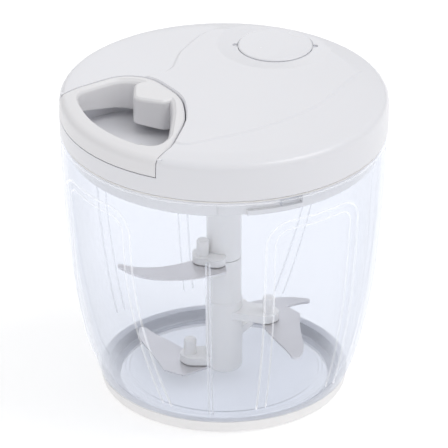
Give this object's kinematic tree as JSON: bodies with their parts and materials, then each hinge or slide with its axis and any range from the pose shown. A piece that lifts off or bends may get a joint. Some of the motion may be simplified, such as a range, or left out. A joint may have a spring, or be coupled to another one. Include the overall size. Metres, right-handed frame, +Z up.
{
  "type": "food chopper",
  "caption": "Hand-pulled food chopper: clear tapered bowl, twist-lock lid with a leaf-shaped pull handle on a cord, and curved steel blades on a central shaft.",
  "frame": {"origin": "centre of the circle the base stands on, at the underside of the non-slip ring", "axes": "+Z up along the shaft and bowl axis; the handle pulls out towards -Y; +X to the right seen from the handle side"},
  "size_m": [0.134, 0.134, 0.1321],
  "materials": {
    "clear_bowl": "clear moulded SAN plastic, polished",
    "soft_base": "matte off-white non-slip rubber",
    "bright_steel": "bright",
    "silicone": "satin silicone",
    "lid_white": "semi-gloss moulded",
    "shaft_white": "satin moulded",
    "inner_plastic": "natural acetal",
    "cord": "braided nylon",
    "spring_steel": "tempered spring steel",
    "blade_steel": "ground stainless steel"
  },
  "bodies": {
    "bowl": {"bowl": "clear_bowl", "base_ring": "soft_base", "pivot_pin": "bright_steel"},
    "blade_shaft": {"shaft_lower": "shaft_white", "shaft_upper": "shaft_white", "blade_1": "blade_steel", "blade_2": "blade_steel", "blade_3": "blade_steel", "blade_4": "blade_steel"},
    "seal": {"seal_ring": "silicone"},
    "lid": {"lid_shell": "lid_white", "lid_base": "lid_white", "cover_cap": "lid_white", "lid_screw_1": "bright_steel", "lid_screw_2": "bright_steel", "lid_screw_3": "bright_steel", "cord_guide": "inner_plastic", "cord_run": "cord", "axle": "bright_steel", "mainspring": "spring_steel"},
    "spool": {"spool": "inner_plastic", "cord_coil": "cord"},
    "hub": {"drive_hub": "inner_plastic", "clutch_spring": "spring_steel"},
    "handle": {"pull_handle": "lid_white", "cord_knot": "cord"}
  },
  "joints": [
    {"name": "blade_spin", "type": "hinge", "parent": "bowl", "child": "blade_shaft", "pos_m": [0, 0, 0.0046], "axis": [0, 0, 1], "continuous": true},
    {"name": "lid_twist", "type": "hinge", "parent": "bowl", "child": "seal", "pos_m": [0, 0, 0.114], "axis": [0, 0, 1], "range_deg": [0, 22]},
    {"name": "lid_lift", "type": "slide", "parent": "seal", "child": "lid", "axis": [0, 0, 1], "range_m": [0, 0.08]},
    {"name": "handle_pull", "type": "slide", "parent": "lid", "child": "handle", "axis": [0, -0.9781, 0.2079], "range_m": [0, 0.28], "stiffness_N_per_m": 25, "springref_m": -0.2},
    {"name": "spool_spin", "type": "hinge", "parent": "lid", "child": "spool", "pos_m": [0, 0, 0.12], "axis": [0, 0, 1], "continuous": true},
    {"name": "hub_spin", "type": "hinge", "parent": "lid", "child": "hub", "pos_m": [0, 0, 0.112], "axis": [0, 0, 1], "continuous": true}
  ],
  "couplings": [
    {"joint": "spool_spin", "follows": "handle_pull", "rad_per_m": 71.174},
    {"joint": "hub_spin", "follows": "handle_pull", "rad_per_m": 71.174},
    {"joint": "blade_spin", "follows": "handle_pull", "rad_per_m": 71.174}
  ]
}
